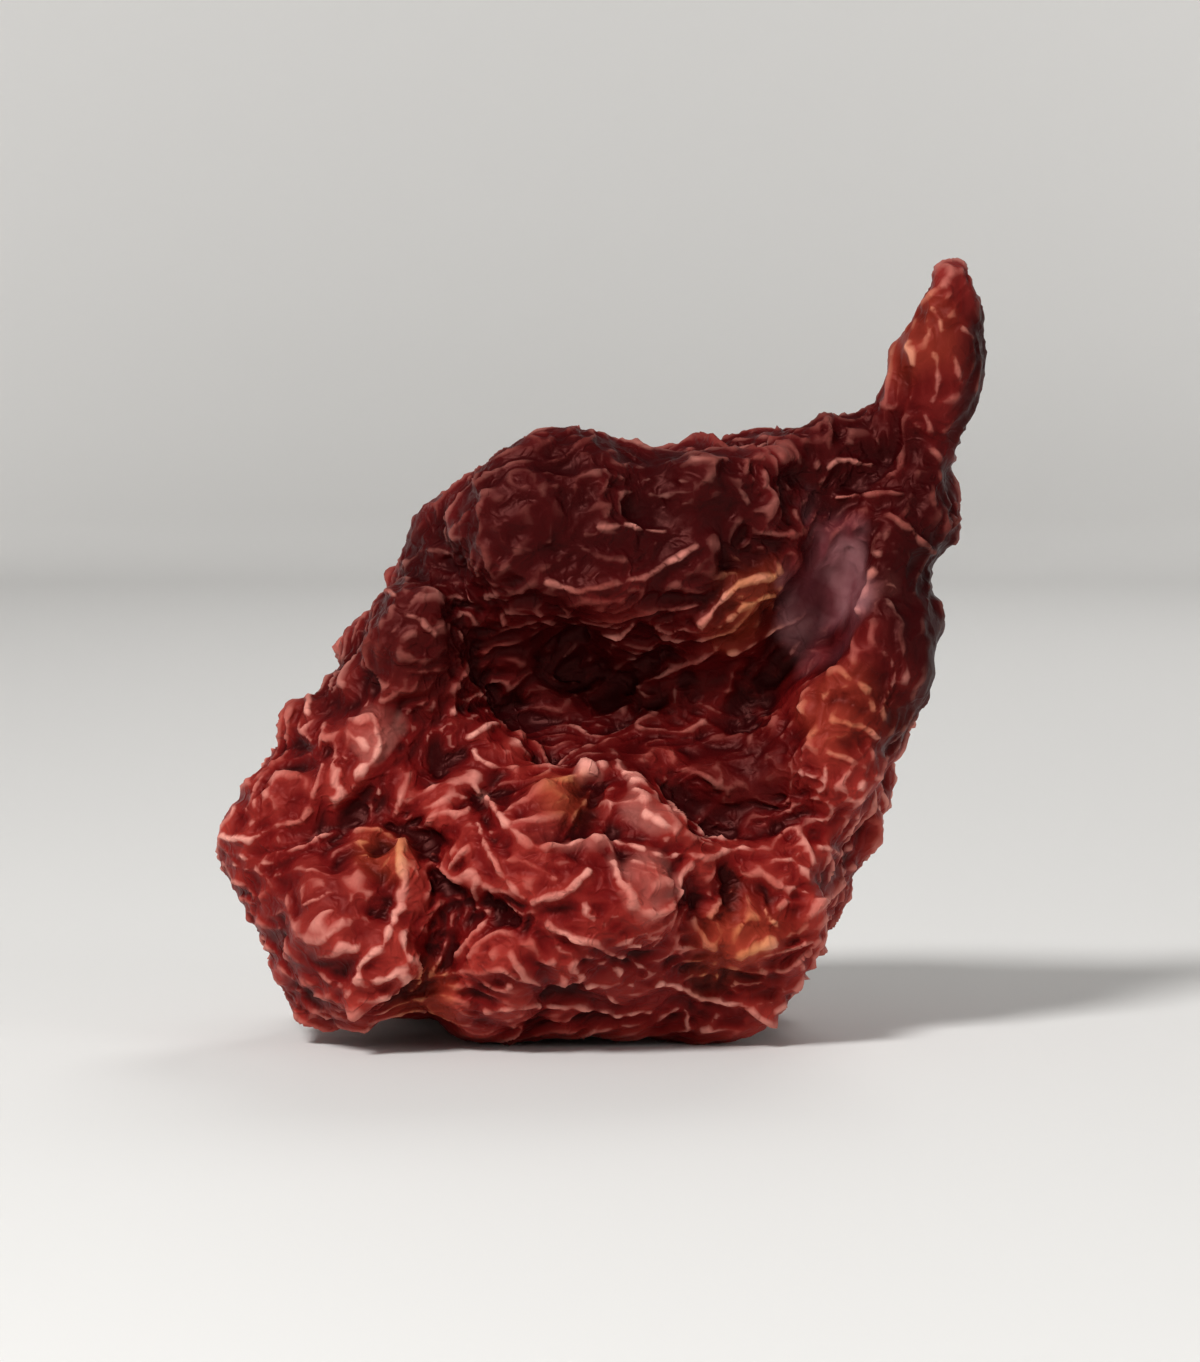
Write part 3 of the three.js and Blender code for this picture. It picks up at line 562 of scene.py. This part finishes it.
share = MOST_TRIANGLES / (2 * len(skin.data.polygons))
apply(skin, "DECIMATE", decimate_type="COLLAPSE", ratio=share)
print("the skin now has", len(skin.data.polygons), "faces")

# %% [markdown]
# ## A grain for both dried materials
#
# Skin and stalk share one effect: dried cells leave a fine grain that lifts the surface a few
# hundredths of a millimetre, creases too thin for the mesh, and a mottled colour. It is built once
# as a node group, with its own inputs, and put into both materials. It reads object coordinates,
# so it stays on the surface from any side.


# %% Build the grain group
def link(tree, start, end):
    tree.links.new(start, end)


def build_grain():
    group = bpy.data.node_groups.new("dried_grain", "ShaderNodeTree")
    scales = {"Cells per metre": 2600.0, "Creases per metre": 1300.0, "Mottle per metre": 300.0}
    for name, default in scales.items():
        socket = group.interface.new_socket(name, in_out="INPUT", socket_type="NodeSocketFloat")
        socket.default_value = default
    for name in ("Cells", "Creases", "Mottle"):
        group.interface.new_socket(name, in_out="OUTPUT", socket_type="NodeSocketFloat")
    nodes = group.nodes
    inside, outside = nodes.new("NodeGroupInput"), nodes.new("NodeGroupOutput")
    place = nodes.new("ShaderNodeTexCoord")
    noises = {}
    for name, detail in (("Cells", 4), ("Creases", 1.5), ("Mottle", 3)):
        noises[name] = nodes.new("ShaderNodeTexNoise")
        noises[name].inputs["Detail"].default_value = detail
        noises[name].inputs["Distortion"].default_value = 0.6 if name == "Creases" else 0
        link(group, place.outputs["Object"], noises[name].inputs["Vector"])
        link(group, inside.outputs[name + " per metre"], noises[name].inputs["Scale"])
    # a crease runs wherever the middle noise is a half, and stands up as a thin line
    line = nodes.new("ShaderNodeValToRGB")
    line.color_ramp.interpolation = "EASE"
    foot, top = line.color_ramp.elements
    foot.position, foot.color = 0.40, (0, 0, 0, 1)
    top.position, top.color = 0.50, (1, 1, 1, 1)
    line.color_ramp.elements.new(0.60).color = (0, 0, 0, 1)
    link(group, noises["Creases"].outputs["Fac"], line.inputs["Fac"])
    link(group, noises["Cells"].outputs["Fac"], outside.inputs["Cells"])
    link(group, line.outputs["Color"], outside.inputs["Creases"])
    link(group, noises["Mottle"].outputs["Fac"], outside.inputs["Mottle"])
    return group


grain = build_grain()
print("grain gives", [s.name for s in grain.interface.items_tree if s.in_out == "OUTPUT"])

# %% [markdown]
# ## Small helpers for materials
#
# A material here is mostly ramps and mixes: a mask goes through a ramp, and the ramp decides
# between two colours. A plain number stands for a grey, so the same helpers also work on masks.


# %% Helpers for ramps, mixes and bumps
def new_material(name):
    material = bpy.data.materials.new(name)
    material.use_nodes = True
    return material, material.node_tree, material.node_tree.nodes["Principled BSDF"]


def add_grain(tree, cells, creases, mottle):
    """Puts the grain group into a material, with its three scales per metre."""
    node = tree.nodes.new("ShaderNodeGroup")
    node.node_tree = grain
    for name, scale in (("Cells", cells), ("Creases", creases), ("Mottle", mottle)):
        node.inputs[name + " per metre"].default_value = scale
    return node.outputs


def mask(tree, name):
    """The values that a mesh stores under this name."""
    node = tree.nodes.new("ShaderNodeAttribute")
    node.attribute_name = name
    return node.outputs["Fac"]


def rgba(colour):
    """A colour, or a grey from a plain number, with its alpha."""
    return (*colour, 1) if isinstance(colour, tuple) else (colour, colour, colour, 1)


def through(tree, value, stops):
    """Sends a value through a colour ramp with these (place, colour) stops."""
    node = tree.nodes.new("ShaderNodeValToRGB")
    elements = node.color_ramp.elements
    while len(elements) < len(stops):
        elements.new(0.5)
    for element, (where, colour) in zip(elements, stops):
        element.position = where
        element.color = rgba(colour)
    link(tree, value, node.inputs["Fac"])
    return node.outputs["Color"]


def mixed(tree, share, one, other):
    """One colour, with this share of the other."""
    node = tree.nodes.new("ShaderNodeMix")
    node.data_type = "RGBA"
    link(tree, share, node.inputs["Factor"])
    for socket, colour in ((node.inputs["A"], one), (node.inputs["B"], other)):
        if isinstance(colour, (tuple, float)):
            socket.default_value = rgba(colour)
        else:
            link(tree, colour, socket)
    return node.outputs["Result"]


def times(tree, one, other):
    node = tree.nodes.new("ShaderNodeMath")
    node.operation = "MULTIPLY"
    link(tree, one, node.inputs[0])
    if isinstance(other, float):
        node.inputs[1].default_value = other
    else:
        link(tree, other, node.inputs[1])
    return node.outputs[0]


def raised_by(tree, height, distance, strength, below=None):
    """A bump of this height on top of another bump's normal."""
    node = tree.nodes.new("ShaderNodeBump")
    node.inputs["Strength"].default_value = strength
    node.inputs["Distance"].default_value = distance
    link(tree, height, node.inputs["Height"])
    if below:
        link(tree, below, node.inputs["Normal"])
    return node.outputs["Normal"]


# %% [markdown]
# ## The pod's skin, from the folds up
#
# The colour goes on in layers, as an eye reads it. First the folds: near black maroon in the
# valleys as a painted shade, and blood red on the rounds, and brighter low down and at the tail,
# while the upper pod is darker as a painted shade. Each row of colours here runs from the valleys
# to the tops. The orange patches and a painted shade over the brow, the rims and the hollow are
# mixed over them.

# %% Start the skin material with its folds
# the upper pod's reds: darker and more maroon as a painted shade
UPPER_RED_IN_SHADE = [
    (0.30, (0.016, 0.0005, 0.001)),
    (0.55, (0.052, 0.0015, 0.002)),
    (0.85, (0.13, 0.009, 0.009)),
]
LOWER_RED = [
    (0.30, (0.022, 0.0006, 0.001)),
    (0.50, (0.130, 0.004, 0.004)),
    (0.85, (0.35, 0.034, 0.024)),
]
BRICK = [(0.25, (0.06, 0.004, 0.002)), (0.8, (0.36, 0.065, 0.020))]
# the near black red of the painted shade
PAINTED_SHADE_RED = (0.020, 0.0005, 0.001)

skin_material, tree, surface = new_material("dried_skin")
grained = add_grain(tree, cells=2600, creases=1150, mottle=330)
folds_and_valley_shade, low_down = mask(tree, "ridge"), mask(tree, "low")
orange, painted_shade, pale_and_highlit = mask(tree, "orange"), mask(tree, "painted_shade"), mask(tree, "drawn")
# painted shade on the upper pod, brighter red low down and at the tail
red = mixed(tree, low_down, through(tree, folds_and_valley_shade, UPPER_RED_IN_SHADE), through(tree, folds_and_valley_shade, LOWER_RED))
red = mixed(tree, times(tree, orange, 0.3), red, through(tree, folds_and_valley_shade, BRICK))
# painted shade over the brow, the rims, the tail's far side and the hollow
red = mixed(tree, painted_shade, red, PAINTED_SHADE_RED)
print("the folds' colours take", len(tree.nodes), "nodes")

# %% [markdown]
# ## The pod's skin, its crests with their painted highlights, and its bloom with its painted sheen
#
# Rubbing and dried wax leave the crests a dusty salmon, and more golden in the orange patches; the
# pale crests are partly a painted highlight too. They are palest on the drawn crests and where the
# skin is most crumpled, and hardly show in the painted shade. Under the drawn crests a broken pale
# dust lies on the skin too, partly a painted highlight. The bloom, partly a painted sheen, goes on
# last. The skin is waxy but old, so its roughness is middling, a little higher on the crests, and
# its shine is weak and tinted red.

# %% Finish the skin material
# the crests' salmon and gold: partly rubbed skin and dried wax, partly a painted highlight
SALMON_RUB_AND_HIGHLIGHT = [(0.35, (0.48, 0.125, 0.095)), (0.65, (0.74, 0.31, 0.25))]
GOLDEN = (0.68, 0.27, 0.10)
# the bloom's greyish mauve, partly a painted sheen
MAUVE_BLOOM_AND_SHEEN = [(0.40, (0.15, 0.034, 0.042)), (0.60, (0.42, 0.19, 0.20))]
SHINE, SHINE_TINT = 0.18, (1.0, 0.30, 0.26, 1)
CREASE_DEPTH, CELL_DEPTH = 0.00009, 0.00006

mottle = grained["Mottle"]
# pale crest colour, partly a painted highlight
pale_top_and_highlight = mixed(tree, times(tree, orange, 0.8), through(tree, mottle, SALMON_RUB_AND_HIGHLIGHT), GOLDEN)
crest_pale_and_highlight = through(tree, mask(tree, "crest"), [(0.58, 0.0), (0.90, 1.0)])
crest_pale_and_highlight = times(tree, crest_pale_and_highlight, through(tree, mottle, [(0.36, 0.45), (0.58, 1.0)]))
crumpled = through(tree, mask(tree, "vigour"), [(0.3, 0.35), (0.9, 0.85)])
strength = mixed(tree, low_down, 0.35, crumpled)
# the pale crests hardly show in the painted shade
strength = mixed(tree, painted_shade, strength, 0.10)
strength = mixed(tree, pale_and_highlit, strength, 1.0)
# a broken pale dust under the drawn crests, partly a painted highlight
dust_and_highlight = times(tree, through(tree, pale_and_highlit, [(0.45, 0.0), (1.0, 0.50)]), low_down)
dust_and_highlight = times(tree, dust_and_highlight, through(tree, mottle, [(0.42, 0.15), (0.58, 1.0)]))
skin_colour = mixed(tree, times(tree, crest_pale_and_highlight, strength), mixed(tree, dust_and_highlight, red, pale_top_and_highlight), pale_top_and_highlight)
# the bloom with its painted sheen
bloom_sheen_share = times(tree, mask(tree, "bloom_and_sheen"), 0.70)
skin_colour = mixed(tree, bloom_sheen_share, skin_colour, through(tree, mottle, MAUVE_BLOOM_AND_SHEEN))
link(tree, skin_colour, surface.inputs["Base Color"])
roughness = through(tree, mask(tree, "crest"), [(0.3, 0.44), (0.8, 0.54)])
link(tree, roughness, surface.inputs["Roughness"])
surface.inputs["Specular IOR Level"].default_value = SHINE
surface.inputs["Specular Tint"].default_value = SHINE_TINT
crease_height = times(tree, grained["Creases"], mask(tree, "vigour"))
creases = raised_by(tree, crease_height, CREASE_DEPTH, 0.45)
cells = raised_by(tree, grained["Cells"], CELL_DEPTH, 0.45, creases)
link(tree, cells, surface.inputs["Normal"])

skin.data.materials.append(skin_material)
pick(skin)
bpy.ops.object.shade_smooth()
print("skin material has", len(tree.nodes), "nodes")

# %% [markdown]
# ## The calyx and the stalk
#
# The stem end is a withered green cap with a short broken stalk. It dries to a brittle straw
# colour, with fibres that run out along the teeth and up the stalk. Both run away from one line,
# the stalk's own direction, so a noise of the angle round that line draws them all. The teeth's
# ends settle a little onto the pod.

# %% Copy the stem, refine it and raise its fibres
STALK_OUT = Vector((-0.34, 0.91, 0.24)).normalized()
STEM_FACE_SIZE = 0.00009
FIBRE_HEIGHT, THREAD_HEIGHT = 0.12, 0.05  # mm
SETTLE = 0.2  # mm

stem = copy_of("stem", "withered_stem")
apply(stem, "REMESH", mode="VOXEL", voxel_size=STEM_FACE_SIZE, adaptivity=0)
apply(stem, "SMOOTH", factor=0.5, iterations=6)
here = places(stem)
facing = normals(stem)
out = np.array(STALK_OUT)
along = (here - STALK_END) @ out
round_it = (here - STALK_END) - along[:, None] * out
reach = np.linalg.norm(round_it, axis=1)
turn = round_it / np.maximum(reach, 0.05)[:, None]
lift = np.empty(len(here))
for spot in range(len(here)):
    angle, run = Vector(turn[spot]), along[spot] + reach[spot]
    fibre = noise.noise(angle * 5.5 + STALK_OUT * (0.25 * run))
    thread = noise.noise(angle * 13 + STALK_OUT * (0.5 * run))
    lift[spot] = FIBRE_HEIGHT * fibre + THREAD_HEIGHT * thread
settled = here + facing * lift[:, None]
settled -= np.outer(SETTLE * ramp(1.2, 2.4, reach) * ramp(-2.0, 0.5, 1.2 - along), out)
move_to(stem, settled)
print("the stem has", 2 * len(stem.data.polygons), "triangles")

# %% Store the stem's fibres and worn edges
facing = normals(stem)
over_fibre = ((settled - smoothed(stem, settled, 12)) * facing).sum(axis=1)
store(stem, "fibre", 0.5 + over_fibre / FIBRE_HEIGHT)
store(stem, "toward_tip", ramp(1.0, 3.2, np.maximum(reach, 0.8 * along)))

# %% [markdown]
# ## The stem's straw
#
# Dry stem is a dull olive straw. The fibres' tops are bleached, the grooves between them are
# brown, and the tips of the teeth and the broken end are darker. It has no wax, so it is rough.

# %% Build the stem material
STRAW = [(0.2, (0.045, 0.022, 0.009)), (0.55, (0.20, 0.115, 0.048)), (0.85, (0.42, 0.29, 0.14))]
OLIVE = [(0.2, (0.035, 0.026, 0.010)), (0.85, (0.24, 0.20, 0.075))]
WORN = (0.10, 0.055, 0.022)
STEM_GRAIN_DEPTH = 0.00004

stem_material, tree, surface = new_material("dried_straw")
grained = add_grain(tree, cells=5200, creases=2400, mottle=700)
fibre = mask(tree, "fibre")
patches = through(tree, grained["Mottle"], [(0.42, 0.0), (0.62, 1.0)])
greener = times(tree, patches, 0.6)
straw = mixed(tree, greener, through(tree, fibre, STRAW), through(tree, fibre, OLIVE))
straw = mixed(tree, times(tree, mask(tree, "toward_tip"), 0.35), straw, WORN)
link(tree, straw, surface.inputs["Base Color"])
surface.inputs["Roughness"].default_value = 0.72
creases = raised_by(tree, grained["Creases"], STEM_GRAIN_DEPTH, 0.5)
cells = raised_by(tree, grained["Cells"], STEM_GRAIN_DEPTH, 0.5, creases)
link(tree, cells, surface.inputs["Normal"])
stem.data.materials.append(stem_material)
pick(stem)
bpy.ops.object.shade_smooth()
print("stem material has", len(tree.nodes), "nodes")

# %% [markdown]
# ## Joining the pepper to its frame
#
# Each new piece rides on the imported body and stands in for its node.

# %% Ride and replace
for piece, node, slot in ((skin, "pod", "pod_skin"), (stem, "stem", "dried_stem")):
    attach(piece, "root")
    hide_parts(node)

# %% [markdown]
# ## A pale floor without an edge
#
# The floor is a wide disc whose edge is drawn out and up in steps, like a shallow bowl. Smooth
# shading hides the turn, so no horizon shows from any side.

# %% Make the floor
FLOOR_RADIUS, BOWL, BOWL_STEPS = 0.45, 0.3, 12

bpy.ops.object.select_all(action="DESELECT")
bpy.ops.mesh.primitive_circle_add(
    vertices=96, radius=FLOOR_RADIUS, fill_type="NGON", location=(0, 0, 0)
)
floor = bpy.context.object
floor.name = "pale_floor"
bpy.ops.object.mode_set(mode="EDIT")
bpy.ops.mesh.select_all(action="SELECT")
bpy.ops.mesh.region_to_loop()
last_angle, last_radius = 0, FLOOR_RADIUS
for step in range(1, BOWL_STEPS + 1):
    angle = step / BOWL_STEPS * math.pi / 2
    radius = FLOOR_RADIUS + BOWL * math.sin(angle)
    rise = BOWL * (math.cos(last_angle) - math.cos(angle))
    bpy.ops.mesh.extrude_edges_move(TRANSFORM_OT_translate={"value": (0, 0, rise)})
    bpy.ops.transform.resize(value=(radius / last_radius, radius / last_radius, 1))
    last_angle, last_radius = angle, radius
bpy.ops.object.mode_set(mode="OBJECT")
bpy.ops.object.shade_smooth()
print("the floor is", round(2 * last_radius, 2), "m wide")
floor_material, tree, surface = new_material("pale_floor")
surface.inputs["Base Color"].default_value = (0.74, 0.73, 0.71, 1)
surface.inputs["Roughness"].default_value = 0.65
floor.data.materials.append(floor_material)

# %% [markdown]
# ## Soft studio light
#
# One large soft light stands high at the front left, so the crests catch it and the hollow stays
# dark. A weaker one opens the shadows from the right, and one behind draws the outline.


# %% Add the lights
def soft_light(name, place, width, power, at=(0, 0, 0.012)):
    """A round area light, this wide, that looks at a point."""
    light = bpy.data.lights.new(name, "AREA")
    light.shape = "DISK"
    light.size = width
    light.energy = power
    lamp = bpy.data.objects.new(name, light)
    bpy.context.scene.collection.objects.link(lamp)
    lamp.location = place
    lamp.rotation_mode = "QUATERNION"
    lamp.rotation_quaternion = (Vector(at) - Vector(place)).to_track_quat("-Z", "Y")
    return lamp


soft_light("key_light", (-0.14, -0.22, 0.26), 0.09, 1.3)
soft_light("fill_light", (0.26, -0.20, 0.14), 0.16, 0.14)
back_light = soft_light("back_light", (0.10, 0.24, 0.26), 0.14, 0.35)
back_light.visible_glossy = False
for side in (-0.3, 0.3):
    soft_light("wall_light", (side, 0.28, 0.10), 0.2, 1.2, at=(side, 0.75, 0.22))
world = bpy.data.worlds.new("soft_room")
bpy.context.scene.world = world
world.use_nodes = True
world.node_tree.nodes["Background"].inputs["Color"].default_value = (1.0, 0.98, 0.96, 1)
world.node_tree.nodes["Background"].inputs["Strength"].default_value = 0.2
bpy.context.scene.view_settings.view_transform = "Standard"

# %% [markdown]
# ## The camera
#
# The photograph looks almost level at the pepper from a long way off, so a long lens is used
# and the camera stands only a little above it.

# %% Place the camera
LOOK_AT = Vector((0.0, 0.0, 0.0125))
RISE = math.radians(4)
DISTANCE = 0.205

camera = bpy.data.objects.new("camera", bpy.data.cameras.new("camera"))
bpy.context.scene.collection.objects.link(camera)
camera.data.lens = 150
camera.data.clip_start = 0.005
camera.data.clip_end = 10
back = Vector((0, -math.cos(RISE), math.sin(RISE)))
camera.location = LOOK_AT + DISTANCE * back
camera.rotation_mode = "QUATERNION"
camera.rotation_quaternion = (-back).to_track_quat("-Z", "Y")
bpy.context.scene.camera = camera
